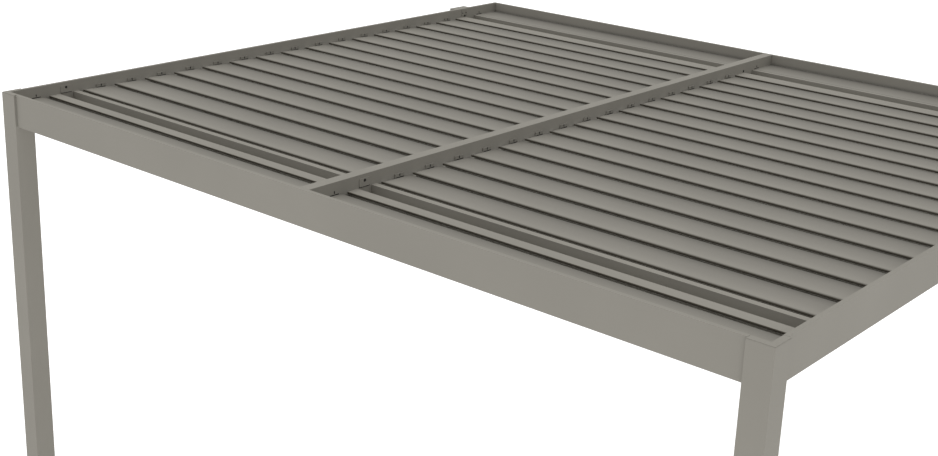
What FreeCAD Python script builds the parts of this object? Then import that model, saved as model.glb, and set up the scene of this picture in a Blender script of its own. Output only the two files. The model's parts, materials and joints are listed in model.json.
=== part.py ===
import FreeCAD, Part
import os
import re
import Sketcher

# A wall-mounted aluminium pergola with two bays of turning louvres, in millimetres.
# The origin is the middle of the back beam's wall face. +X runs along the wall to the
# right, +Y points into the wall and +Z up, so the roof reaches out along -Y.

DOC = FreeCAD.newDocument("pergola")
SHEET = DOC.addObject("Spreadsheet::Sheet", "Sizes")
PLACES = DOC.addObject("App::VarSet", "Places")

# Every size that can be set by itself.
SIZES = (
    ("roof_width", 4476, "over the outer faces of the side beams"),
    ("roof_depth", 3988, "from the wall to the front beam's outer face"),
    ("total_height", 2500, "from the ground to the top of the beams"),
    ("beam_height", 170, "all beams"),
    ("beam_width", 20, "upstand of the front and back beams, and the side beams"),
    ("beam_wall", 3, "wall of the beams"),
    ("centre_beam_width", 56, ""),
    ("post_size", 110, "square tube"),
    ("post_wall", 3, ""),
    ("post_proud", 12, "how far the posts stand out of the beams' outer faces"),
    ("cap_thick", 3, "cap of a post"),
    ("cap_inset", 1, "from the cap's edges to the post's faces and to the beams"),
    ("drain_width", 56, "opening from the front gutter into a post"),
    ("drain_height", 50, ""),
    ("drain_rise", 8, "lower edge of the drain above the beam's lower face"),
    ("foot_width", 180, "square foot plate"),
    ("foot_thick", 8, ""),
    ("foot_corner", 12, "corner radius"),
    ("foot_hole", 14, "diameter"),
    ("foot_hole_inset", 20, "hole centre from the plate's edges"),
    ("wall_hole", 12, "diameter"),
    ("wall_hole_span", 160, "holes of one group, along the beam"),
    ("wall_hole_rise", 30, "lower holes above the beam's lower face"),
    ("wall_hole_step", 34, "upper holes above the lower ones"),
    ("wall_group_inset", 418, "middle of an outer group from the beam's end"),
    ("louvre_drop", 60, "top of the louvres below the top of the beams"),
    ("louvre_thick", 24, ""),
    ("louvre_wall", 2, ""),
    ("louvre_count", 15, "in each bay"),
    ("louvre_gap", 23, "between the tops of two louvres"),
    ("first_gap", 31, "before the first louvre"),
    ("louvre_fall", 5, "the rear edge of the louvre's top below its front edge"),
    ("louvre_round", 4, "radius of the louvre's rear upper edge"),
    ("lip_length", 26.5, "the front lip covers the trough in front of it"),
    ("lip_turn", 10, "height of the lip's turned-down edge"),
    ("trough_reach", 10, "the trough's reach under the next lip"),
    ("trough_turn", 9, "height of the trough's turned-up edge"),
    ("pivot_shift", 21, "pivot behind the middle of the louvre's top"),
    ("pin_diameter", 10, ""),
    ("pin_play", 0.1, "radial, in the pivot block"),
    ("pin_short", 1, "the pin's end before the beam"),
    ("end_cap_thick", 3, "end cap of a louvre"),
    ("end_play", 5, "between a louvre and its pivot block"),
    ("block_length", 58, "pivot block, along the beam"),
    ("block_height", 56, ""),
    ("block_thick", 7, ""),
    ("strip_wall", 2.5, "wall of the fixed strips"),
    ("strip_joint", 3, "open joint beside the covers"),
    ("front_cover_depth", 201, ""),
    ("front_cover_round", 20, "radius of its rear upper edge"),
    ("front_slot", 25, "slot behind the front cover, over its trough"),
    ("front_flange", 60, "in front of the front channel"),
    ("front_channel", 86, "clear width"),
    ("front_rim", 33, "behind the front channel"),
    ("back_flange", 98, "in front of the back channel"),
    ("back_channel", 102, "clear width"),
    ("back_rim", 24, "behind the back channel"),
    ("back_cover_depth", 204, ""),
    ("channel_depth", 45, ""),
    ("box_length", 147, "box on the left beam"),
    ("box_width", 48, ""),
    ("box_height", 75, ""),
    ("box_wall", 2.5, ""),
    ("box_from_wall", 292, "from the wall to the box"),
    ("plate_length", 57, "plate behind the box, on the beam's inner face"),
    ("plate_height", 44, ""),
    ("plate_thick", 3, ""),
    ("plate_below_top", 8, "from the top of the beam"),
)

# What follows from them, each worked out from the names above it.
DERIVED = (
    ("beam_top", "beam_height / 2"),
    ("ground", "beam_height / 2 - total_height"),
    ("side_inner_x", "roof_width / 2 - beam_width"),
    ("post_outer_x", "roof_width / 2 + post_proud"),
    ("post_front_y", "-roof_depth - post_proud"),
    ("front_inner_y", "-roof_depth + beam_width"),
    ("gutter_reach", "post_size - post_proud"),
    ("gutter_height", "beam_height - louvre_drop - louvre_thick"),
    ("side_beam_length", "roof_depth - gutter_reach"),
    ("centre_beam_length", "roof_depth - 2 * beam_width"),
    ("bay_width", "side_inner_x - centre_beam_width / 2"),
    ("bay_x", "centre_beam_width / 2 + bay_width / 2"),
    ("louvre_bottom_z", "-beam_height / 2 + gutter_height"),
    ("front_channel_start", "strip_joint + front_cover_depth + front_slot"),
    ("front_channel_end", "front_channel_start + front_flange + front_channel + front_rim"),
    ("back_cover_start", "centre_beam_length - strip_joint - back_cover_depth"),
    ("back_channel_end", "back_cover_start - strip_joint"),
    ("back_channel_start", "back_channel_end - back_rim - back_channel - back_flange"),
    ("louvre_pitch", "(back_channel_start - front_channel_end - first_gap) / louvre_count"),
    ("louvre_top", "louvre_pitch - louvre_gap"),
    ("louvre_front", "-louvre_top / 2 - pivot_shift"),
    ("louvre_face", "louvre_front + lip_length"),
    ("louvre_back", "louvre_top / 2 - pivot_shift"),
    ("trough_end", "louvre_back + louvre_gap + trough_reach"),
    ("louvre_length", "bay_width - 2 * block_thick - 2 * end_play"),
    ("pin_length", "block_thick + end_play - pin_short"),
    ("first_pivot", "front_channel_end + first_gap - louvre_front"),
    ("pivot_z", "louvre_bottom_z + louvre_thick / 2"),
    ("arm", "beam_width + post_proud"),
    ("tube_length", "total_height - foot_thick - beam_height + gutter_height"),
)

SIZE_NAMES = [name for name, _, _ in SIZES]
DERIVED_NAMES = [name for name, _ in DERIVED]


def bound(text):
    # An expression in plain names, with the object that holds each name.
    def owner(match):
        name = match.group(0)
        if name in SIZE_NAMES:
            return "Sizes." + name
        if name in DERIVED_NAMES:
            return "Places." + name
        return name

    return re.sub("[a-z_]+", owner, text)


def fill_sheet():
    for row, (name, number, note) in enumerate(SIZES, start=1):
        SHEET.set("A%d" % row, name)
        SHEET.set("B%d" % row, str(number))
        SHEET.set("C%d" % row, note)
        SHEET.setAlias("B%d" % row, name)
    DOC.recompute()
    for name, text in DERIVED:
        PLACES.addProperty("App::PropertyFloat", name, "Places")
        PLACES.setExpression(name, bound(text))
        DOC.recompute()


def place(item, x="0", y="0", z="0", turn=0):
    # Binds an object's place; turn is about Z, in degrees.
    rotation = FreeCAD.Rotation(FreeCAD.Vector(0, 0, 1), turn)
    item.Placement = FreeCAD.Placement(FreeCAD.Vector(), rotation)
    item.setExpression("Placement.Base.x", bound(x))
    item.setExpression("Placement.Base.y", bound(y))
    item.setExpression("Placement.Base.z", bound(z))


# Sketches and features


def new_body(label):
    body = DOC.addObject("PartDesign::Body", label)
    body.Label = label
    return body


def origin_plane(body, role):
    return [item for item in body.Origin.OriginFeatures if item.Role == role][0]


def new_sketch(body, name, role, offset="0"):
    sketch = body.newObject("Sketcher::SketchObject", "%s_%s" % (body.Name, name))
    sketch.AttachmentSupport = [(origin_plane(body, role), "")]
    sketch.MapMode = "FlatFace"
    sketch.setExpression("AttachmentOffset.Base.z", bound(offset))
    return sketch


def bind(sketch, kind, start, text):
    # A dimension of the sketch, bound to an expression.
    number = sketch.addConstraint(Sketcher.Constraint(kind, *start, 1.0))
    sketch.setExpression("Constraints[%d]" % number, bound(text))


def add_outline(sketch, points):
    # A closed outline of straight edges. Each corner (u, v) is held to the sketch's
    # origin by its two dimensions, which bring it to its place.
    first = sketch.GeometryCount
    count = len(points)
    ring = [FreeCAD.Vector(number, number * number, 0) for number in range(count)]
    for number in range(count):
        edge = Part.LineSegment(ring[number], ring[(number + 1) % count])
        sketch.addGeometry(edge, False)
    for number in range(count):
        following = first + (number + 1) % count
        sketch.addConstraint(Sketcher.Constraint("Coincident", first + number, 2, following, 1))
    for number, (u, v) in enumerate(points):
        corner = (-1, 1, first + number, 1)
        bind(sketch, "DistanceX", corner, u)
        bind(sketch, "DistanceY", corner, v)


def add_rectangle(sketch, u_low, v_low, u_high, v_high):
    add_outline(sketch, ((u_low, v_low), (u_high, v_low), (u_high, v_high), (u_low, v_high)))


def add_circle(sketch, u, v, diameter):
    circle = Part.Circle(FreeCAD.Vector(1, 1, 0), FreeCAD.Vector(0, 0, 1), 1)
    edge = sketch.addGeometry(circle, False)
    bind(sketch, "DistanceX", (-1, 1, edge, 3), u)
    bind(sketch, "DistanceY", (-1, 1, edge, 3), v)
    bind(sketch, "Diameter", (edge,), diameter)


def pad(body, sketch, name, length, midplane=False):
    feature = body.newObject("PartDesign::Pad", "%s_%s" % (body.Name, name))
    feature.Profile = sketch
    feature.Midplane = midplane
    feature.setExpression("Length", bound(length))
    DOC.recompute()
    return feature


def pocket(body, sketch, name, length, midplane=False, back=False):
    # A cut, which has to take something away.
    before = body.Shape.Volume
    feature = body.newObject("PartDesign::Pocket", "%s_%s" % (body.Name, name))
    feature.Profile = sketch
    feature.Midplane = midplane
    feature.Reversed = back
    feature.setExpression("Length", bound(length))
    DOC.recompute()
    if not body.Shape.Volume < before:
        raise ValueError("%s takes nothing away" % feature.Name)
    return feature


def edges_at(body, sketch, corner):
    # Names of the body's edges that run square to the sketch through one of its corners.
    point = sketch.Geometry[corner].StartPoint
    normal = sketch.Placement.Rotation.multVec(FreeCAD.Vector(0, 0, 1))
    line = Part.Line(sketch.Placement.multVec(point), sketch.Placement.multVec(point) + normal)
    names = []
    for number, edge in enumerate(body.Tip.Shape.Edges, start=1):
        ends = [vertex.Point for vertex in edge.Vertexes]
        if len(ends) == 2 and all(line.projectPoint(end).distanceToPoint(end) < 1e-4 for end in ends):
            names.append("Edge%d" % number)
    return names


def round_corners(body, sketch, corners, name, radius):
    names = []
    for corner in corners:
        names += edges_at(body, sketch, corner)
    feature = body.newObject("PartDesign::Fillet", "%s_%s" % (body.Name, name))
    feature.Base = (feature.BaseFeature, names)
    feature.setExpression("Radius", bound(radius))
    DOC.recompute()
    return feature


def copy_of(master, label):
    # A body of its own with the shape of another.
    body = new_body(label)
    body.BaseFeature = master
    return body


def group(label, items):
    # Like pieces that share a node, as solids that don't touch.
    joined = DOC.addObject("Part::Compound", label)
    joined.Label = label
    joined.Links = items
    return joined


# Beams


def gutter_beam_section(sketch):
    # u runs inwards from the outer face and v up from the lower face: a closed upstand
    # with an open gutter on its inner side.
    add_outline(sketch, (
        ("0", "0"),
        ("gutter_reach", "0"),
        ("gutter_reach", "gutter_height"),
        ("gutter_reach - beam_wall", "gutter_height"),
        ("gutter_reach - beam_wall", "beam_wall"),
        ("beam_width", "beam_wall"),
        ("beam_width", "beam_height"),
        ("0", "beam_height"),
    ))
    add_rectangle(
        sketch, "beam_wall", "beam_wall", "beam_width - beam_wall", "beam_height - beam_wall")


def box_section(sketch, width):
    # A closed box with its middle at u = 0 and its lower face at v = 0.
    half = "%s / 2" % width
    add_rectangle(sketch, "-" + half, "0", half, "beam_height")
    add_rectangle(
        sketch, "-%s + beam_wall" % half, "beam_wall",
        "%s - beam_wall" % half, "beam_height - beam_wall")


def make_front_beam():
    # Between the posts.
    body = new_body("front_beam")
    section = new_sketch(body, "section", "YZ_Plane")
    gutter_beam_section(section)
    pad(body, section, "length", "2 * (post_outer_x - post_size)", midplane=True)
    place(body, y="-roof_depth", z="-beam_height / 2")
    return body


def make_back_beam():
    # Against the wall, between the side beams, with three groups of four bolt holes
    # through its upstand, below the back cover.
    body = new_body("back_beam")
    section = new_sketch(body, "section", "YZ_Plane")
    gutter_beam_section(section)
    pad(body, section, "length", "2 * side_inner_x", midplane=True)
    holes = new_sketch(body, "holes", "XZ_Plane")
    for group_number in (-1, 0, 1):
        for side in (-1, 1):
            u = "(side_inner_x - wall_group_inset) * %d + wall_hole_span / 2 * %d" % (group_number, side)
            for level in (0, 1):
                v = "wall_hole_rise + wall_hole_step * %d" % level
                add_circle(holes, u, v, "wall_hole")
    pocket(body, holes, "hole_cut", "2 * beam_width", midplane=True)
    place(body, z="-beam_height / 2", turn=180)
    return body


def make_side_beam(label, side):
    # From the back of the post to the wall. side is -1 at the left and 1 at the right.
    body = new_body(label)
    section = new_sketch(body, "section", "XZ_Plane")
    box_section(section, "beam_width")
    pad(body, section, "length", "side_beam_length", midplane=True)
    x = "(roof_width - beam_width) / 2 * %d" % side
    place(body, x=x, y="-side_beam_length / 2", z="-beam_height / 2")
    return body


def make_centre_beam():
    # From upstand to upstand, notched over both gutters.
    body = new_body("centre_beam")
    section = new_sketch(body, "section", "XZ_Plane")
    box_section(section, "centre_beam_width")
    pad(body, section, "length", "centre_beam_length", midplane=True)
    notches = new_sketch(body, "notches", "YZ_Plane")
    inner = "(centre_beam_length / 2 - gutter_reach + beam_width)"
    add_rectangle(notches, "-centre_beam_length / 2", "0", "-" + inner, "gutter_height")
    add_rectangle(notches, inner, "0", "centre_beam_length / 2", "gutter_height")
    pocket(body, notches, "notch_cut", "centre_beam_width", midplane=True)
    place(body, y="-roof_depth / 2", z="-beam_height / 2")
    return body


# Posts. Each has its outer corner at its own origin and its sides along +x and +y.


def corner_outline(inset):
    # The L of a post's top, drawn in by the inset on every side.
    far = "post_size - %s" % inset
    inner = "arm - %s" % inset
    return (
        (inset, inset),
        (far, inset),
        (far, inner),
        (inner, inner),
        (inner, far),
        (inset, far),
    )


def make_post(label, side, turn, drain_plane):
    # A square tube up to the edge of the gutters, and above it a hollow L round the
    # corner of the beams. An opening in the side towards the front gutter drains it.
    body = new_body(label)
    tube = new_sketch(body, "tube", "XY_Plane")
    add_rectangle(tube, "0", "0", "post_size", "post_size")
    add_rectangle(tube, "post_wall", "post_wall", "post_size - post_wall", "post_size - post_wall")
    pad(body, tube, "tube_length", "tube_length")
    corner = new_sketch(body, "corner", "XY_Plane", "tube_length")
    add_outline(corner, corner_outline("0"))
    add_outline(corner, corner_outline("post_wall"))
    pad(body, corner, "corner_length", "beam_height - gutter_height - cap_thick")
    drain = new_sketch(body, "drain", drain_plane)
    middle = "(arm + post_size - beam_wall) / 2"
    low = "(tube_length - gutter_height + drain_rise)"
    add_rectangle(
        drain, "%s - drain_width / 2" % middle, low,
        "%s + drain_width / 2" % middle, "%s + drain_height" % low)
    sideways = "post_size - post_wall"
    if drain_plane == "XZ_Plane":
        sideways = "-(%s)" % sideways
    drain.setExpression("AttachmentOffset.Base.z", bound(sideways))
    pocket(body, drain, "drain_cut", "4 * post_wall", midplane=True)
    place(body, x="post_outer_x * %d" % side, y="post_front_y", z="ground + foot_thick", turn=turn)
    return body


def make_post_caps():
    caps = []
    for name, side, turn in (("left", -1, 0), ("right", 1, 90)):
        body = new_body(name + "_cap")
        outline = new_sketch(body, "outline", "XY_Plane")
        add_outline(outline, corner_outline("cap_inset"))
        pad(body, outline, "thickness", "cap_thick")
        place(body, x="post_outer_x * %d" % side, y="post_front_y", z="beam_top - cap_thick", turn=turn)
        caps.append(body)
    return group("post_caps", caps)


def make_foot_plates():
    # Under the middle of each post, with four bolt holes outside it.
    plates = []
    half = "foot_width / 2"
    hole = "(foot_width / 2 - foot_hole_inset)"
    for name, side in (("left", -1), ("right", 1)):
        body = new_body(name + "_foot")
        outline = new_sketch(body, "outline", "XY_Plane")
        add_rectangle(outline, "-" + half, "-" + half, half, half)
        for u in ("-" + hole, hole):
            for v in ("-" + hole, hole):
                add_circle(outline, u, v, "foot_hole")
        pad(body, outline, "thickness", "foot_thick")
        round_corners(body, outline, range(4), "corners", "foot_corner")
        x = "(post_outer_x - post_size / 2) * %d" % side
        place(body, x=x, y="post_front_y + post_size / 2", z="ground")
        plates.append(body)
    return group("foot_plates", plates)


# Fixed strips, one in each bay, from beam to beam. u runs from the front beam's
# upstand to the wall and v up from the lower face of the louvres.


def make_strip_pair(label, start, outlines, rounds=()):
    # The strip of the left bay and its copy in the right bay. rounds gives the corners
    # to round: the corner, the name of the feature and the radius.
    master = new_body(label + "_profile")
    section = new_sketch(master, "section", "YZ_Plane")
    corners = []
    for points in outlines:
        add_outline(section, points)
        corners += points
    pad(master, section, "length", "bay_width", midplane=True)
    for corner, name, radius in rounds:
        round_corners(master, section, [corners.index(corner)], name, radius)
    strips = []
    for name, side in (("left", -1), ("right", 1)):
        strip = copy_of(master, "%s_%s" % (label, name))
        x = "bay_x * %d" % side
        place(strip, x=x, y="front_inner_y + %s" % start, z="louvre_bottom_z")
        strips.append(strip)
    return group(label, strips)


def trough_corners(back, gap):
    # Lower corners of a strip whose rear wall stands at back, with a trough behind it
    # that reaches across the gap and under the next piece's lip.
    end = "(%s + %s + trough_reach)" % (back, gap)
    return (
        (end, "0"),
        (end, "trough_turn"),
        (end + " - strip_wall", "trough_turn"),
        (end + " - strip_wall", "strip_wall"),
        (back, "strip_wall"),
    )


def panel_outlines(depth, rear_corners):
    # A closed flat panel as thick as a louvre.
    end = depth + " - strip_wall"
    top = "louvre_thick - strip_wall"
    outer = (("0", "0"), *rear_corners, (depth, "louvre_thick"), ("0", "louvre_thick"))
    inner = (("strip_wall", "strip_wall"), (end, "strip_wall"), (end, top), ("strip_wall", top))
    return outer, inner


def channel_outlines(flange, channel, rim, rear_corners):
    # A lip over the trough in front, a closed flange, an open channel and a rim.
    floor = "louvre_thick - channel_depth"
    under = "louvre_thick - strip_wall"
    back = "(%s + %s)" % (flange, channel)
    end = "(%s + %s + %s)" % (flange, channel, rim)
    outer = (
        ("0", "louvre_thick - lip_turn"),
        ("strip_wall", "louvre_thick - lip_turn"),
        ("strip_wall", under),
        ("lip_length", under),
        ("lip_length", "0"),
        (flange + " - strip_wall", "0"),
        (flange + " - strip_wall", floor + " - strip_wall"),
        (back + " + strip_wall", floor + " - strip_wall"),
        (back + " + strip_wall", under),
        (end + " - strip_wall", under),
        (end + " - strip_wall", "0"),
        *rear_corners,
        (end, "louvre_thick"),
        (back, "louvre_thick"),
        (back, floor),
        (flange, floor),
        (flange, "louvre_thick"),
        ("0", "louvre_thick"),
    )
    inside = "lip_length + strip_wall"
    wall = flange + " - strip_wall"
    inner = ((inside, "strip_wall"), (wall, "strip_wall"), (wall, under), (inside, under))
    return outer, inner


def make_front_covers():
    # Rest on the inner wall of the front gutter. The rear upper edge is round, and a
    # trough closes the slot behind it from below.
    outlines = panel_outlines("front_cover_depth", trough_corners("front_cover_depth", "front_slot"))
    outer, inner = outlines
    rounds = (
        (outer[-2], "outer_round", "front_cover_round"),
        (inner[-2], "inner_round", "front_cover_round - strip_wall"),
    )
    return make_strip_pair("front_covers", "strip_joint", outlines, rounds)


def make_back_covers():
    # Rest on the inner wall of the back gutter.
    outlines = panel_outlines("back_cover_depth", (("back_cover_depth", "0"),))
    return make_strip_pair("back_covers", "back_cover_start", outlines)


def make_front_channels():
    # Lip over the front cover's trough, and a trough under the first louvre's lip.
    end = "(front_flange + front_channel + front_rim)"
    rear_corners = trough_corners(end, "first_gap")
    outlines = channel_outlines("front_flange", "front_channel", "front_rim", rear_corners)
    return make_strip_pair("front_channels", "front_channel_start", outlines)


def make_back_channels():
    # Lip over the last louvre's trough.
    end = "(back_flange + back_channel + back_rim)"
    outlines = channel_outlines("back_flange", "back_channel", "back_rim", ((end, "0"),))
    return make_strip_pair("back_channels", "back_channel_start", outlines)


# Louvres


def add_filling(sketch, start, end, inset):
    # The shape between two upright lines inside the louvre, as far under its falling
    # top and over its lower face as the inset.
    low = "-louvre_thick / 2 + " + inset
    fall = "louvre_fall * (%s - louvre_face) / (louvre_back - louvre_face)"
    high = "louvre_thick / 2 - %s - %s" % (inset, fall)
    add_outline(sketch, ((start, low), (end, low), (end, high % end), (start, high % start)))


def louvre_section(sketch):
    # u runs to the wall and v up, both from the pivot. The front lip hangs over the
    # trough of the louvre in front of it, and the hollow body has a rib in its middle.
    # Behind the lip the top falls to the trough. Gives the corners of the outline.
    half = "louvre_thick / 2"
    outline = (
        ("louvre_front", half + " - lip_turn"),
        ("louvre_front + louvre_wall", half + " - lip_turn"),
        ("louvre_front + louvre_wall", half + " - louvre_wall"),
        ("louvre_face", half + " - louvre_wall"),
        ("louvre_face", "-" + half),
        ("trough_end", "-" + half),
        ("trough_end", "-%s + trough_turn" % half),
        ("trough_end - louvre_wall", "-%s + trough_turn" % half),
        ("trough_end - louvre_wall", "-%s + louvre_wall" % half),
        ("louvre_back", "-%s + louvre_wall" % half),
        ("louvre_back", half + " - louvre_fall"),
        ("louvre_face", half),
        ("louvre_front", half),
    )
    add_outline(sketch, outline)
    rib = "(louvre_face + louvre_back) / 2"
    add_filling(sketch, "(louvre_face + louvre_wall)", "(%s - louvre_wall / 2)" % rib, "louvre_wall")
    add_filling(sketch, "(%s + louvre_wall / 2)" % rib, "(louvre_back - louvre_wall)", "louvre_wall")
    return outline


def make_louvre():
    # The louvre that every place in both bays repeats: profile, end caps and pivot pins.
    body = new_body("louvre")
    section = new_sketch(body, "section", "YZ_Plane")
    outline = louvre_section(section)
    pad(body, section, "length", "louvre_length", midplane=True)
    rear_edge = outline.index(("louvre_back", "louvre_thick / 2 - louvre_fall"))
    round_corners(body, section, [rear_edge], "rear_edge", "louvre_round")
    cap_sketch = new_sketch(body, "cap", "YZ_Plane", "louvre_length / 2 - end_cap_thick")
    inset = "louvre_wall / 2"
    start = "(louvre_face + %s)" % inset
    end = "(louvre_back - louvre_round - %s)" % inset
    add_filling(cap_sketch, start, end, inset)
    cap = pad(body, cap_sketch, "end_cap", "end_cap_thick")
    pin_sketch = new_sketch(body, "pin", "YZ_Plane", "louvre_length / 2")
    add_circle(pin_sketch, "0", "0", "pin_diameter")
    pin = pad(body, pin_sketch, "pin_length", "pin_length")
    other_end = body.newObject("PartDesign::Mirrored", "louvre_other_end")
    other_end.Originals = [cap, pin]
    other_end.MirrorPlane = (origin_plane(body, "YZ_Plane"), [""])
    body.Tip = other_end
    DOC.recompute()
    return body


def make_louvres(master):
    louvres = []
    count = int(SHEET.louvre_count)
    for bay, side in (("left", -1), ("right", 1)):
        for number in range(count):
            louvre = copy_of(master, "%s_louvre_%02d" % (bay, number + 1))
            y = "front_inner_y + first_pivot + louvre_pitch * %d" % number
            place(louvre, x="bay_x * %d" % side, y=y, z="pivot_z")
            louvres.append(louvre)
    return louvres


def make_pivot_blocks():
    # One block under each end of every louvre, on the face of its beam.
    blocks = []
    for bay_side in (-1, 1):
        for end in (-1, 1):
            name = "blocks_%d" % (len(blocks) + 1)
            body = new_body(name)
            body.AllowCompound = True
            outline = new_sketch(body, "outline", "YZ_Plane")
            add_rectangle(
                outline, "-block_length / 2", "-block_height / 2",
                "block_length / 2", "block_height / 2")
            add_circle(outline, "0", "0", "pin_diameter + 2 * pin_play")
            block = pad(body, outline, "thickness", "block_thick", midplane=True)
            row = body.newObject("PartDesign::LinearPattern", name + "_row")
            row.Originals = [block]
            row.Direction = (outline, ["H_Axis"])
            row.setExpression("Length", bound("louvre_pitch * (louvre_count - 1)"))
            row.setExpression("Occurrences", bound("louvre_count"))
            body.Tip = row
            x = "bay_x * %d + (bay_width - block_thick) / 2 * %d" % (bay_side, end)
            place(body, x=x, y="front_inner_y + first_pivot", z="pivot_z")
            DOC.recompute()
            blocks.append(body)
    return group("pivot_blocks", blocks)


# Box on the left beam


def make_side_bracket():
    # A closed box on the outer face of the left beam, and the plate that backs it on
    # the beam's inner face.
    box = new_body("outer_box")
    outline = new_sketch(box, "outline", "XY_Plane")
    add_rectangle(outline, "-box_width", "-box_length / 2", "0", "box_length / 2")
    pad(box, outline, "height", "box_height")
    inside = new_sketch(box, "inside", "XY_Plane", "box_wall")
    add_rectangle(
        inside, "-box_width + box_wall", "-box_length / 2 + box_wall",
        "-box_wall", "box_length / 2 - box_wall")
    pocket(box, inside, "hollow", "box_height - 2 * box_wall", back=True)
    middle_y = "-box_from_wall - box_length / 2"
    place(box, x="-roof_width / 2", y=middle_y, z="beam_top - box_height")
    plate = new_body("inner_plate")
    plate_outline = new_sketch(plate, "outline", "YZ_Plane")
    add_rectangle(
        plate_outline, "-plate_length / 2", "-plate_height", "plate_length / 2", "0")
    pad(plate, plate_outline, "thickness", "plate_thick")
    place(plate, x="-side_inner_x", y=middle_y, z="beam_top - plate_below_top")
    return group("side_bracket", [box, plate])


# Export


def check_and_write(subparts):
    for item in DOC.Objects:
        if "Invalid" in item.State or "Error" in item.State:
            raise ValueError("%s failed: %s" % (item.Name, item.State))
    for item in subparts:
        shape = item.Shape
        if shape.isNull() or not shape.isValid() or not shape.Solids:
            raise ValueError("%s has no valid solid" % item.Label)
    os.makedirs("parts", exist_ok=True)
    for item in subparts:
        item.Shape.exportStep("parts/%s.step" % item.Label)


def main():
    fill_sheet()
    subparts = [
        make_front_beam(),
        make_back_beam(),
        make_side_beam("left_beam", -1),
        make_side_beam("right_beam", 1),
        make_centre_beam(),
        make_post("left_post", -1, 0, "YZ_Plane"),
        make_post("right_post", 1, 90, "XZ_Plane"),
        make_post_caps(),
        make_foot_plates(),
        make_front_covers(),
        make_front_channels(),
        make_back_channels(),
        make_back_covers(),
        make_pivot_blocks(),
        make_side_bracket(),
    ]
    subparts += make_louvres(make_louvre())
    DOC.recompute()
    check_and_write(subparts)


main()
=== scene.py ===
import json
import math

import bmesh
import bpy
from mathutils import Matrix, Vector


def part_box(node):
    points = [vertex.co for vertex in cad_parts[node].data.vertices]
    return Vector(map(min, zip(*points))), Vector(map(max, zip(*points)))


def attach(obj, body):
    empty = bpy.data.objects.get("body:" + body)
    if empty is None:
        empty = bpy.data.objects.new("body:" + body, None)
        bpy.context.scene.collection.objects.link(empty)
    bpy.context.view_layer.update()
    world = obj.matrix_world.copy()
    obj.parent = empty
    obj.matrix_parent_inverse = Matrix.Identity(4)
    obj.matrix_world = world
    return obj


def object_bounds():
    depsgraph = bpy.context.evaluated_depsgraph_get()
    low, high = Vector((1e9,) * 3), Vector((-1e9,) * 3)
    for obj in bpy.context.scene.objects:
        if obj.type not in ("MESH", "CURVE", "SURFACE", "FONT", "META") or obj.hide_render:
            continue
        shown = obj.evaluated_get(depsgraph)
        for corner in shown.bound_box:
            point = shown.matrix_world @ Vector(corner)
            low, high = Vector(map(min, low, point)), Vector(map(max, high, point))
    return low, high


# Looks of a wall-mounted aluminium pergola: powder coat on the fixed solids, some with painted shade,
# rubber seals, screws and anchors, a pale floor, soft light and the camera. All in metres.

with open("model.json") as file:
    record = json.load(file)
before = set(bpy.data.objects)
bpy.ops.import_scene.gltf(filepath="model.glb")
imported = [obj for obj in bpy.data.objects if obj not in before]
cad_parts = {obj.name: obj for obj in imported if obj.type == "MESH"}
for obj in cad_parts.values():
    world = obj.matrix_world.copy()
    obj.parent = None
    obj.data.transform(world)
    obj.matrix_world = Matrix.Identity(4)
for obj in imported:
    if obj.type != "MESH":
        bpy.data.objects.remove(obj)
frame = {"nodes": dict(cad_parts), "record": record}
CAD_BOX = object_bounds()
RECORD = frame["record"]

# Camera

CAMERA_PLACE = (4.168, -7.859, 1.945)
CAMERA_TURN_DEG = (72.135, -1.977, 40.613)
CAMERA_LENS_MM = 54.1
CAMERA_SENSOR_MM = 36.0
CAMERA_SHIFT_Y = -0.045

# Light and floor

SKY = 0.8
SUN = 1.15
SUN_ANGLE_DEG = 60
FLOOR_GLOW = 0.88
FLOOR_TONE = 0.45
FLOOR_TONE_SPREAD = 0.01
FLOOR_TONE_SCALE = 0.5
FLOOR_ROUGHNESS = 0.9
FLOOR_SIZE = 120
FLOOR_MIDDLE_Y = -2
FLOOR_DROP = 0.001

# Colours

WHITE = (1.0, 1.0, 1.0, 1.0)
PAINT = (0.243, 0.231, 0.203)
BRACKET_PAINT = (0.22, 0.209, 0.181)
BLOCK_PLASTIC = (0.2, 0.19, 0.166)
# Black of the plugs, also the painted shade in slots and under plates
DARK_RUBBER_AND_SHADE = (0.012, 0.0118, 0.0112)
DARK_STEEL = (0.03, 0.029, 0.028)
ZINC = (0.45, 0.45, 0.44)

# Surfaces

COAT_ROUGHNESS = 0.68
COAT_GLOSS = 0.1
RUBBER_ROUGHNESS = 0.7
RUBBER_GLOSS = 0.2
RUBBER_GRAIN_SCALE = 1500.0
TONE_SCALE = 1.7
GRAIN_SCALE = 900.0
GRAIN_DEPTH = 0.00002
GRAIN_STRENGTH = 0.3
GRAIN_ROUGHNESS = 0.05

# Rounding of the solids' edges

WELD_DISTANCE = 0.00002
EDGE_WIDTH = 0.001
EDGE_ANGLE_DEG = 35

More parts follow.
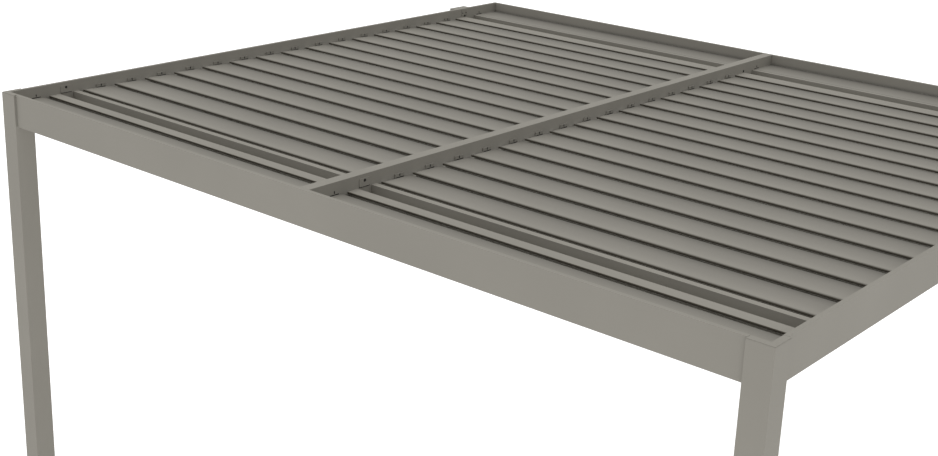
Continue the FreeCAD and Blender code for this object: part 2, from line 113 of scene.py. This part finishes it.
# Painted shade: the coat darkens from a louvre's front lip to its rear edge, and more in the trough
# behind that edge, by the share of the pitch. A cover darkens to its rear edge as well, and the back
# beam's front face to its foot, with painted light higher up where the factor passes 1.
REAR_EDGE = 0.888
LOUVRE_SHADE_STOPS = (
    (0.0, 0.5), (0.02, 0.66), (0.04, 0.86), (0.06, 0.96), (0.085, 1.0), (0.35, 0.88), (0.57, 0.80),
    (0.69, 0.72), (0.77, 0.64), (0.82, 0.57), (REAR_EDGE, 0.46), (0.90, 0.3),
)
FRONT_COVER_SHADE_STOPS = (
    (0.0, 0.95), (0.07, 1.0), (0.35, 0.94), (0.57, 0.86),
    (0.69, 0.77), (0.77, 0.68), (0.82, 0.59), (REAR_EDGE, 0.46), (0.90, 0.3),
)
BACK_COVER_SHADE_STOPS = (
    (0.0, 0.7), (0.03, 0.82), (0.07, 0.90), (0.35, 0.78), (0.57, 0.70),
    (0.69, 0.61), (0.77, 0.51), (0.82, 0.43), (REAR_EDGE, 0.33), (0.90, 0.3),
)
BACK_BEAM_SHADE_AND_LIGHT_STOPS = ((0.0, 0.76), (0.07, 0.84), (0.16, 0.98), (0.26, 1.06), (0.5, 1.09))

# A face looks one way where its normal keeps at least this share of that way.
FACING_SHARE = 0.7

# Sizes of the solids that the pieces sit on

BLOCK_THICK = 0.007
LIP_HEIGHT = 0.010
FRONT_SLOT = 0.025
GROUND_PLATE = 0.008
UPSTAND = 0.020

# How far an added piece reaches into what carries it, and the sides of turned pieces

SUNK = 0.0003
SCREW_SIDES = 16
PLUG_SIDES = 20
WASHER_SIDES = 24
NUT_SIDES = 6

# Seals: rubber with painted shade, darker towards the foot of the lip in the gap; shares are of the lip's
# height

SEAL_BELOW_TOP = 0.0008
SEAL_THICK = 0.0016
SEAL_ROOT = 0.0004
SEAL_PLAY = 0.001
SEAL_STEPS = 8
SEAL_TINT = (1.12, 1.0, 0.76)
SEAL_SHADE_TONES = ((0.0, 0.042), (0.35, 0.05), (0.55, 0.054), (0.75, 0.062), (0.92, 0.08))

# Flat pieces with round corners

TABLET_POINTS = 16
TABLET_EDGE = 0.0003

# Dark tablets for the pivot blocks' slots, above the pivot: painted shade in a slot and a keyhole

SLOT_SIZE = (0.056, 0.0042)
SLOT_HEIGHT = 0.0094
KEYHOLE_SIZE = (0.0060, 0.0130)
KEYHOLE_HEIGHT = 0.0210
DARK_PROUD = 0.0006

# Fittings on the beams' inner faces, at the ends of the cover and channel strips

CLIP_PLACES = (-3.820, -0.200)
CLIP_HEIGHT = 0.0272
CLIP_KEYHOLE_HEIGHT = 0.0390
PLATE_Y = -3.637
PLATE_HEIGHT = 0.0470
PLATE_SIZE = (0.066, 0.038)
PLATE_THICK = 0.0030
PLATE_CORNER = 0.006
PLATE_SCREW_HEIGHT = 0.0560
PLATE_SCREW_RADIUS = 0.0070
# A dark strip under each plate is painted shadow
PLATE_SHADOW_HEIGHT = 0.0266
PLATE_SHADOW_THICK = 0.0024
PLUG_PLACE = (-0.360, 0.0345)
PLUG_PROFILE = ((0.0070, -SUNK), (0.0070, 0.0012), (0.0062, 0.0022), (0.0020, 0.0026))

# Beads of sealant at the top of the joints between posts and beams

BEAD_WIDTH = 0.003
BEAD_DEPTH = 0.008
BEAD_LENGTH = 0.012
BEAD_TAPER = 0.002
BEAD_INSET = 0.0012

# Threads of the anchors, and screws of the box on the left beam

FOOT_ANCHOR_RADIUS = 0.006
WALL_ANCHOR_RADIUS = 0.005
BOX_SCREW_RADIUS = 0.0040
BOX_SCREW_SPREAD = 0.018
BOX_SCREW_BELOW_TOP = 0.030
BOX_SCREW_FROM_EDGE = 0.012
BOX_SCREW_FROM_SIDE = 0.024


# Materials


def new_material(name):
    material = bpy.data.materials.new(name)
    material.use_nodes = True
    return material, material.node_tree.nodes, material.node_tree.links


def set_stops(ramp, stops):
    # Puts colours at places from 0 to 1 on a colour ramp, which starts with two.
    for number, (position, colour) in enumerate(stops):
        stop = ramp.elements[number] if number < 2 else ramp.elements.new(position)
        stop.position = position
        stop.color = (*colour, 1.0)


def add_tone(nodes, links, place, colour, spread, scale):
    # A slow change of tone about a colour.
    slow = nodes.new("ShaderNodeTexNoise")
    slow.inputs["Scale"].default_value = scale
    slow.inputs["Detail"].default_value = 3.0
    links.new(place, slow.inputs["Vector"])
    tone = nodes.new("ShaderNodeValToRGB")
    darker = [part * (1 - spread) for part in colour]
    lighter = [part * (1 + spread) for part in colour]
    set_stops(tone.color_ramp, ((0.3, darker), (0.7, lighter)))
    links.new(slow.outputs["Fac"], tone.inputs["Fac"])
    return tone.outputs["Color"]


def add_grain(nodes, links, place, shader, roughness, scale):
    # Fine grain in roughness and bump.
    grain = nodes.new("ShaderNodeTexNoise")
    grain.inputs["Scale"].default_value = scale
    grain.inputs["Detail"].default_value = 2.0
    links.new(place, grain.inputs["Vector"])
    shine = nodes.new("ShaderNodeMapRange")
    shine.inputs["To Min"].default_value = roughness - GRAIN_ROUGHNESS
    shine.inputs["To Max"].default_value = roughness + GRAIN_ROUGHNESS
    links.new(grain.outputs["Fac"], shine.inputs["Value"])
    links.new(shine.outputs["Result"], shader.inputs["Roughness"])
    bump = nodes.new("ShaderNodeBump")
    bump.inputs["Distance"].default_value = GRAIN_DEPTH
    bump.inputs["Strength"].default_value = GRAIN_STRENGTH
    links.new(grain.outputs["Fac"], bump.inputs["Height"])
    links.new(bump.outputs["Normal"], shader.inputs["Normal"])


def add_painted_shade(nodes, links, coords, colour, stops, start, pitch, along="Y", facing=(0, 0, 1)):
    # Paints shade on the faces that look one way by their place along an axis, again in each pitch; a
    # factor over 1 paints light.
    place = nodes.new("ShaderNodeSeparateXYZ")
    links.new(coords.outputs["Object"], place.inputs["Vector"])
    offset = nodes.new("ShaderNodeMath")
    offset.operation = "SUBTRACT"
    offset.inputs[1].default_value = start
    links.new(place.outputs[along], offset.inputs[0])
    share = nodes.new("ShaderNodeMath")
    share.operation = "DIVIDE"
    share.inputs[1].default_value = pitch
    links.new(offset.outputs["Value"], share.inputs[0])
    turn = nodes.new("ShaderNodeMath")
    turn.operation = "FRACT"
    links.new(share.outputs["Value"], turn.inputs[0])
    painted_shade = nodes.new("ShaderNodeValToRGB")
    set_stops(painted_shade.color_ramp, [(position, (factor,) * 3) for position, factor in stops])
    links.new(turn.outputs["Value"], painted_shade.inputs["Fac"])
    lean = nodes.new("ShaderNodeVectorMath")
    lean.operation = "DOT_PRODUCT"
    lean.inputs[1].default_value = facing
    links.new(coords.outputs["Normal"], lean.inputs[0])
    faces = nodes.new("ShaderNodeMath")
    faces.operation = "GREATER_THAN"
    faces.inputs[1].default_value = FACING_SHARE
    links.new(lean.outputs["Value"], faces.inputs[0])
    mix = nodes.new("ShaderNodeMix")
    mix.data_type = "RGBA"
    mix.blend_type = "MULTIPLY"
    links.new(faces.outputs["Value"], mix.inputs["Factor"])
    links.new(colour, mix.inputs["A"])
    links.new(painted_shade.outputs["Color"], mix.inputs["B"])
    return mix.outputs["Result"]


def coat(name, colour, roughness=COAT_ROUGHNESS, metallic=0.0, spread=0.03, scale=GRAIN_SCALE, painted_shade=None):
    # Paint, plastic or metal. The last argument, when given, holds the painted shade's arguments from stops
    # on.
    material, nodes, links = new_material(name)
    shader = nodes["Principled BSDF"]
    shader.inputs["Metallic"].default_value = metallic
    shader.inputs["Specular IOR Level"].default_value = COAT_GLOSS
    coords = nodes.new("ShaderNodeTexCoord")
    place = coords.outputs["Object"]
    tone = add_tone(nodes, links, place, colour, spread, TONE_SCALE)
    if painted_shade:
        tone = add_painted_shade(nodes, links, coords, tone, *painted_shade)
    links.new(tone, shader.inputs["Base Color"])
    add_grain(nodes, links, place, shader, roughness, scale)
    return material


def floor_material():
    # A pale floor that glows a little, so that it stays pale in the shade of the roof.
    material, nodes, links = new_material("floor_look")
    shader = nodes["Principled BSDF"]
    coords = nodes.new("ShaderNodeTexCoord")
    place = coords.outputs["Object"]
    tone = add_tone(nodes, links, place, (FLOOR_TONE,) * 3, FLOOR_TONE_SPREAD, FLOOR_TONE_SCALE)
    links.new(tone, shader.inputs["Base Color"])
    shader.inputs["Roughness"].default_value = FLOOR_ROUGHNESS
    shader.inputs["Emission Color"].default_value = WHITE
    shader.inputs["Emission Strength"].default_value = FLOOR_GLOW
    return material


def seal_shade_material():
    # Rubber with painted shade: lighter at the top of the lip, darker towards its foot in the gap.
    material, nodes, links = new_material("seal_shade_look")
    shader = nodes["Principled BSDF"]
    coords = nodes.new("ShaderNodeTexCoord")
    place = nodes.new("ShaderNodeSeparateXYZ")
    links.new(coords.outputs["Object"], place.inputs["Vector"])
    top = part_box("left_louvre_01")[1].z
    height = nodes.new("ShaderNodeMapRange")
    height.inputs["From Min"].default_value = top - LIP_HEIGHT
    height.inputs["From Max"].default_value = top
    links.new(place.outputs["Z"], height.inputs["Value"])
    tone = nodes.new("ShaderNodeValToRGB")
    set_stops(tone.color_ramp, [(share, [grey * part for part in SEAL_TINT]) for share, grey in SEAL_SHADE_TONES])
    links.new(height.outputs["Result"], tone.inputs["Fac"])
    links.new(tone.outputs["Color"], shader.inputs["Base Color"])
    shader.inputs["Specular IOR Level"].default_value = RUBBER_GLOSS
    add_grain(nodes, links, coords.outputs["Object"], shader, RUBBER_ROUGHNESS, RUBBER_GRAIN_SCALE)
    return material


def louvre_painted_shade():
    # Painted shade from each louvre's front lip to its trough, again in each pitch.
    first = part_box("left_louvre_01")[0].y
    return LOUVRE_SHADE_STOPS, first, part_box("left_louvre_02")[0].y - first


def front_cover_painted_shade():
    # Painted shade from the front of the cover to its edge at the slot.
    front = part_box("front_covers")[0].y
    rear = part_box("front_channels")[0].y - FRONT_SLOT
    return FRONT_COVER_SHADE_STOPS, front, (rear - front) / REAR_EDGE


def back_cover_painted_shade():
    # Painted shade at both edges of the back covers, darkest at their rear edge by the back beam.
    low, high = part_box("back_covers")
    return BACK_COVER_SHADE_STOPS, low.y, (high.y - low.y) / REAR_EDGE


def back_beam_painted_shade_and_light():
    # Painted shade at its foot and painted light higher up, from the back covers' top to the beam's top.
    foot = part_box("back_covers")[1].z
    return BACK_BEAM_SHADE_AND_LIGHT_STOPS, foot, (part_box("back_beam")[1].z - foot) / REAR_EDGE, "Z", (0, -1, 0)


# Fixed solids


def dress_nodes():
    # Each solid gets the look of its record slot, or one of its own where shade is painted
    # on it, and slightly rounded edges.
    looks = {
        "frame_paint": coat("frame_paint_look", PAINT),
        "louvre_paint": coat("louvre_painted_shade_look", PAINT, painted_shade=louvre_painted_shade()),
        "bracket_metal": coat("bracket_look", BRACKET_PAINT, 0.5),
        "foot_metal": coat("foot_look", PAINT),
        "pivot_plastic": coat("pivot_look", BLOCK_PLASTIC, 0.6, scale=500.0),
    }
    painted_shade_looks = {
        "front_covers": coat("front_cover_painted_shade_look", PAINT, painted_shade=front_cover_painted_shade()),
        "back_covers": coat("back_cover_painted_shade_look", PAINT, painted_shade=back_cover_painted_shade()),
        "back_beam": coat("back_beam_painted_shade_and_light_look", PAINT, painted_shade=back_beam_painted_shade_and_light()),
    }
    slots = {part["node"]: part["material_slot"] for part in RECORD["subparts"]}
    for name, node in frame["nodes"].items():
        node.data.materials.clear()
        node.data.materials.append(painted_shade_looks[name] if name in painted_shade_looks else looks[slots[name]])
        weld = node.modifiers.new("weld", "WELD")
        weld.merge_threshold = WELD_DISTANCE
        edge = node.modifiers.new("edge", "BEVEL")
        edge.width = EDGE_WIDTH
        edge.segments = 2
        edge.limit_method = "ANGLE"
        edge.angle_limit = math.radians(EDGE_ANGLE_DEG)
        edge.loop_slide = False
        edge.harden_normals = True


# Added pieces


def add_piece(name, mesh_data, material, body):
    mesh = bpy.data.meshes.new(name)
    bmesh.ops.recalc_face_normals(mesh_data, faces=mesh_data.faces)
    mesh_data.to_mesh(mesh)
    mesh_data.free()
    mesh.materials.append(material)
    piece = bpy.data.objects.new(name, mesh)
    bpy.context.collection.objects.link(piece)
    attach(piece, body)


def add_loft(mesh_data, rings):
    # Faces between rings of points, with both ends closed.
    loops = [[mesh_data.verts.new(point) for point in ring] for ring in rings]
    for lower, upper in zip(loops, loops[1:]):
        count = len(lower)
        for number in range(count):
            after = (number + 1) % count
            mesh_data.faces.new((lower[number], lower[after], upper[after], upper[number]))
    mesh_data.faces.new(loops[0][::-1])
    mesh_data.faces.new(loops[-1])


def add_turned(mesh_data, place, axis, profile, sides):
    # A turned or prismatic shape: profile gives radius and height along the axis.
    turn = Vector((0, 0, 1)).rotation_difference(Vector(axis)).to_matrix().to_4x4()
    matrix = Matrix.Translation(place) @ turn
    rings = []
    for radius, height in profile:
        ring = []
        for number in range(sides):
            angle = 2 * math.pi * (number + 0.5) / sides
            point = Vector((radius * math.cos(angle), radius * math.sin(angle), height))
            ring.append(matrix @ point)
        rings.append(ring)
    add_loft(mesh_data, rings)


def add_tablet(mesh_data, face_x, way, middle, size, thick, radius=None):
    # A flat piece with round corners on a face across X; middle and size are Y and Z.
    if radius is None:
        radius = min(size) / 2
    edge = min(TABLET_EDGE, thick / 2)
    straight_y = size[0] / 2 - radius
    straight_z = size[1] / 2 - radius
    rings = []
    for depth, inset in ((-SUNK, 0), (thick - edge, 0), (thick, edge)):
        ring = []
        for number in range(TABLET_POINTS):
            angle = 2 * math.pi * (number + 0.5) / TABLET_POINTS
            across = math.copysign(straight_y, math.cos(angle)) + (radius - inset) * math.cos(angle)
            up = math.copysign(straight_z, math.sin(angle)) + (radius - inset) * math.sin(angle)
            ring.append((face_x + way * depth, middle[0] + across, middle[1] + up))
        rings.append(ring)
    add_loft(mesh_data, rings)


def add_seal(name, low_x, high_x, front_y, top_z, rubber_with_painted_shade, body):
    # A half-round bulb from end to end of a lip.
    mesh_data = bmesh.new()
    height = LIP_HEIGHT - SEAL_BELOW_TOP
    middle = top_z - SEAL_BELOW_TOP - height / 2
    section = [(front_y + SEAL_ROOT, middle - height / 2 + SEAL_ROOT)]
    for number in range(SEAL_STEPS + 1):
        angle = math.pi * (number / SEAL_STEPS - 0.5)
        section.append((front_y - SEAL_THICK * math.cos(angle), middle + height / 2 * math.sin(angle)))
    section.append((front_y + SEAL_ROOT, middle + height / 2 - SEAL_ROOT))
    add_loft(mesh_data, [[(x, y, z) for y, z in section] for x in (low_x, high_x)])
    add_piece(name, mesh_data, rubber_with_painted_shade, body)


def make_seals():
    # A rubber bulb on every lip: the louvres' and those of the two channel strips.
    rubber_with_painted_shade = seal_shade_material()
    for name in frame["nodes"]:
        if "_louvre_" in name:
            low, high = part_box(name)
            seal_name = name.replace("louvre", "seal")
            add_seal(seal_name, low.x + SEAL_PLAY, high.x - SEAL_PLAY, low.y, high.z, rubber_with_painted_shade, name)
    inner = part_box("centre_beam")[1].x + SEAL_PLAY
    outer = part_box("right_beam")[0].x - SEAL_PLAY
    for node in ("front_channels", "back_channels"):
        low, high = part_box(node)
        add_seal(node + "_left_seal", -outer, -inner, low.y, high.z, rubber_with_painted_shade, "frame")
        add_seal(node + "_right_seal", inner, outer, low.y, high.z, rubber_with_painted_shade, "frame")


def bay_faces():
    # The beams' inner faces at both ends of both bays, and the way into the bay.
    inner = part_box("centre_beam")[1].x
    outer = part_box("right_beam")[0].x
    return ((-outer, 1), (-inner, -1), (inner, 1), (outer, -1))


def make_pivot_slot_shades():
    # Painted shade: a dark tablet for a slot under one for a keyhole on every pivot block.
    dark = coat("dark_rubber_and_slot_shade_look", DARK_RUBBER_AND_SHADE, 0.5, scale=700.0)
    slots = bmesh.new()
    for joint in RECORD["behaviour"]["joints"]:
        x, y, z = joint["pos_m"]
        for face_x, way in bay_faces():
            if face_x * x < 0:
                continue
            block_x = face_x + way * BLOCK_THICK
            add_tablet(slots, block_x, way, (y, z + SLOT_HEIGHT), SLOT_SIZE, DARK_PROUD)
            add_tablet(slots, block_x, way, (y, z + KEYHOLE_HEIGHT), KEYHOLE_SIZE, DARK_PROUD)
    add_piece("pivot_slot_shades", slots, dark, "frame")


def make_end_fittings():
    # Clips at the covers' ends, whose slot and keyhole are dark tablets of painted shade, plates with a
    # screw over the front channels' ends, each over a dark strip of painted shadow, and plugs over the back
    # channels' ends.
    dark = bpy.data.materials["dark_rubber_and_slot_shade_look"]
    steel = coat("dark_steel_look", DARK_STEEL, 0.4, metallic=0.8)
    paint = bpy.data.materials["frame_paint_look"]
    clip_shades = bmesh.new()
    plates = bmesh.new()
    screws = bmesh.new()
    plugs = bmesh.new()
    plate_shadow_size = (PLATE_SIZE[0], PLATE_SHADOW_THICK)
    left_face = bay_faces()[0][0]
    for face_x, way in bay_faces():
        for y in CLIP_PLACES:
            # Painted shade in each clip's slot and keyhole.
            add_tablet(clip_shades, face_x, way, (y, CLIP_HEIGHT), SLOT_SIZE, DARK_PROUD)
            add_tablet(clip_shades, face_x, way, (y, CLIP_KEYHOLE_HEIGHT), KEYHOLE_SIZE, DARK_PROUD)
        add_tablet(plates, face_x, way, (PLATE_Y, PLATE_HEIGHT), PLATE_SIZE, PLATE_THICK, PLATE_CORNER)
        # Painted shadow under the plate.
        add_tablet(clip_shades, face_x, way, (PLATE_Y, PLATE_SHADOW_HEIGHT), plate_shadow_size, PLATE_THICK)
        screw_place = Vector((face_x + way * PLATE_THICK, PLATE_Y, PLATE_SCREW_HEIGHT))
        add_turned(screws, screw_place, (way, 0, 0), screw_profile(PLATE_SCREW_RADIUS), SCREW_SIDES)
        # The plate behind the box covers the left beam at the plug.
        plug_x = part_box("side_bracket")[1].x if face_x == left_face else face_x
        add_turned(plugs, Vector((plug_x, *PLUG_PLACE)), (way, 0, 0), PLUG_PROFILE, PLUG_SIDES)
    add_piece("end_clip_shades", clip_shades, dark, "frame")
    add_piece("channel_end_plates", plates, paint, "frame")
    add_piece("channel_end_screws", screws, steel, "frame")
    add_piece("channel_plugs", plugs, dark, "frame")


def make_joint_beads():
    # Short beads at the top of the joints between the posts and the beams.
    bead_look = coat("bead_look", BLOCK_PLASTIC, 0.7)
    beads = bmesh.new()
    beam_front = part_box("front_beam")[0].y
    beam_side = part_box("right_beam")[1].x
    low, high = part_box("right_post")
    foot = high.z - BEAD_LENGTH
    for side in (-1, 1):
        for x0, x1, y0, y1 in (
                (side * (low.x - BEAD_WIDTH), side * low.x, beam_front - BEAD_DEPTH, beam_front),
                (side * beam_side, side * (beam_side + BEAD_DEPTH), high.y, high.y + BEAD_WIDTH)):
            rings = []
            for z, inset in ((foot, BEAD_INSET), (foot + BEAD_TAPER, 0), (high.z, 0)):
                way = 1 if x1 > x0 else -1
                rings.append([
                    (x0 + way * inset, y0 + inset, z), (x1 - way * inset, y0 + inset, z),
                    (x1 - way * inset, y1 - inset, z), (x0 + way * inset, y1 - inset, z)])
            add_loft(beads, rings)
    add_piece("joint_beads", beads, bead_look, "frame")


def screw_profile(radius):
    # A low round head with a socket.
    return (
        (radius * 0.25, 0.0008), (radius * 0.4, 0.0008), (radius * 0.45, 0.0020), (radius * 0.7, 0.0019),
        (radius * 0.92, 0.0012), (radius, 0.0004), (radius, -SUNK),
    )


def add_hex_bolt(mesh_data, place, axis, size):
    # Washer, hexagon and threaded end of an anchor; size is the thread's radius.
    washer = (
        (size * 1.05, 0.0), (size * 2.0, 0.0), (size * 2.1, size * 0.1), (size * 2.1, size * 0.3),
        (size * 2.0, size * 0.4), (size * 1.05, size * 0.4),
    )
    add_turned(mesh_data, place, axis, washer, WASHER_SIDES)
    nut = (
        (size * 1.0, size * 0.4), (size * 1.75, size * 0.4), (size * 1.9, size * 0.55),
        (size * 1.9, size * 1.85), (size * 1.7, size * 2.05), (size * 1.0, size * 2.05),
    )
    add_turned(mesh_data, place, axis, nut, NUT_SIDES)
    thread = [(size, size * 0.2)]
    for number in range(10):
        height = size * (2.0 + 0.2 * number)
        thread.append((size * (0.88 if number % 2 else 1.0), height))
    thread.append((size * 0.7, size * 4.1))
    add_turned(mesh_data, place, axis, thread, SCREW_SIDES)


def make_anchors():
    # Anchors in the foot plates and in the back beam, at the record's bolt patterns.
    zinc = coat("zinc_look", ZINC, 0.35, metallic=1.0, spread=0.08, scale=250.0)
    feet = bmesh.new()
    wall = bmesh.new()
    for mount in RECORD["mounts"]:
        if mount["kind"] != "bolt_pattern":
            continue
        middle = Vector(mount["pos_m"])
        half_u = mount["dims"]["spacing_x_mm"] / 1000 / 2
        half_v = mount["dims"]["spacing_y_mm"] / 1000 / 2
        for u in (-half_u, half_u):
            for v in (-half_v, half_v):
                if "foot" in mount["name"]:
                    place = middle + Vector((u, v, GROUND_PLATE))
                    add_hex_bolt(feet, place, (0, 0, 1), FOOT_ANCHOR_RADIUS)
                else:
                    place = middle + Vector((u, -UPSTAND, v))
                    add_hex_bolt(wall, place, (0, -1, 0), WALL_ANCHOR_RADIUS)
    add_piece("foot_anchors", feet, zinc, "frame")
    add_piece("wall_anchors", wall, zinc, "frame")


def make_bracket_screws():
    # Two screws in the plate on the left beam's inner face, two in the box's front end.
    steel = bpy.data.materials["dark_steel_look"]
    screws = bmesh.new()
    head = screw_profile(BOX_SCREW_RADIUS)
    low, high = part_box("side_bracket")
    middle_y = (low.y + high.y) / 2
    for y in (middle_y - BOX_SCREW_SPREAD, middle_y + BOX_SCREW_SPREAD):
        add_turned(screws, Vector((high.x, y, high.z - BOX_SCREW_BELOW_TOP)), (1, 0, 0), head, SCREW_SIDES)
    side_x = low.x + BOX_SCREW_FROM_SIDE
    for z in (low.z + BOX_SCREW_FROM_EDGE, high.z - BOX_SCREW_FROM_EDGE):
        add_turned(screws, Vector((side_x, low.y, z)), (0, -1, 0), head, SCREW_SIDES)
    add_piece("bracket_screws", screws, steel, "frame")


# Stage


def make_floor():
    low, _ = CAD_BOX
    bpy.ops.mesh.primitive_plane_add(size=FLOOR_SIZE, location=(0, FLOOR_MIDDLE_Y, low.z - FLOOR_DROP))
    floor = bpy.context.object
    floor.name = "floor"
    floor.data.materials.append(floor_material())


def make_light():
    # Even white light from all round, and a soft sun from above.
    world = bpy.data.worlds.new("studio")
    bpy.context.scene.world = world
    world.use_nodes = True
    sky = world.node_tree.nodes["Background"]
    sky.inputs["Color"].default_value = WHITE
    sky.inputs["Strength"].default_value = SKY
    lamp = bpy.data.lights.new("key", "SUN")
    lamp.energy = SUN
    lamp.angle = math.radians(SUN_ANGLE_DEG)
    holder = bpy.data.objects.new("key", lamp)
    bpy.context.collection.objects.link(holder)


def make_camera():
    data = bpy.data.cameras.new("camera")
    data.lens = CAMERA_LENS_MM
    data.sensor_width = CAMERA_SENSOR_MM
    data.shift_y = CAMERA_SHIFT_Y
    camera = bpy.data.objects.new("camera", data)
    camera.location = CAMERA_PLACE
    camera.rotation_euler = [math.radians(angle) for angle in CAMERA_TURN_DEG]
    bpy.context.collection.objects.link(camera)
    bpy.context.scene.camera = camera


dress_nodes()
make_seals()
make_pivot_slot_shades()
make_end_fittings()
make_joint_beads()
make_anchors()
make_bracket_screws()
make_floor()
make_light()
make_camera()
bpy.context.scene.view_settings.view_transform = "Standard"
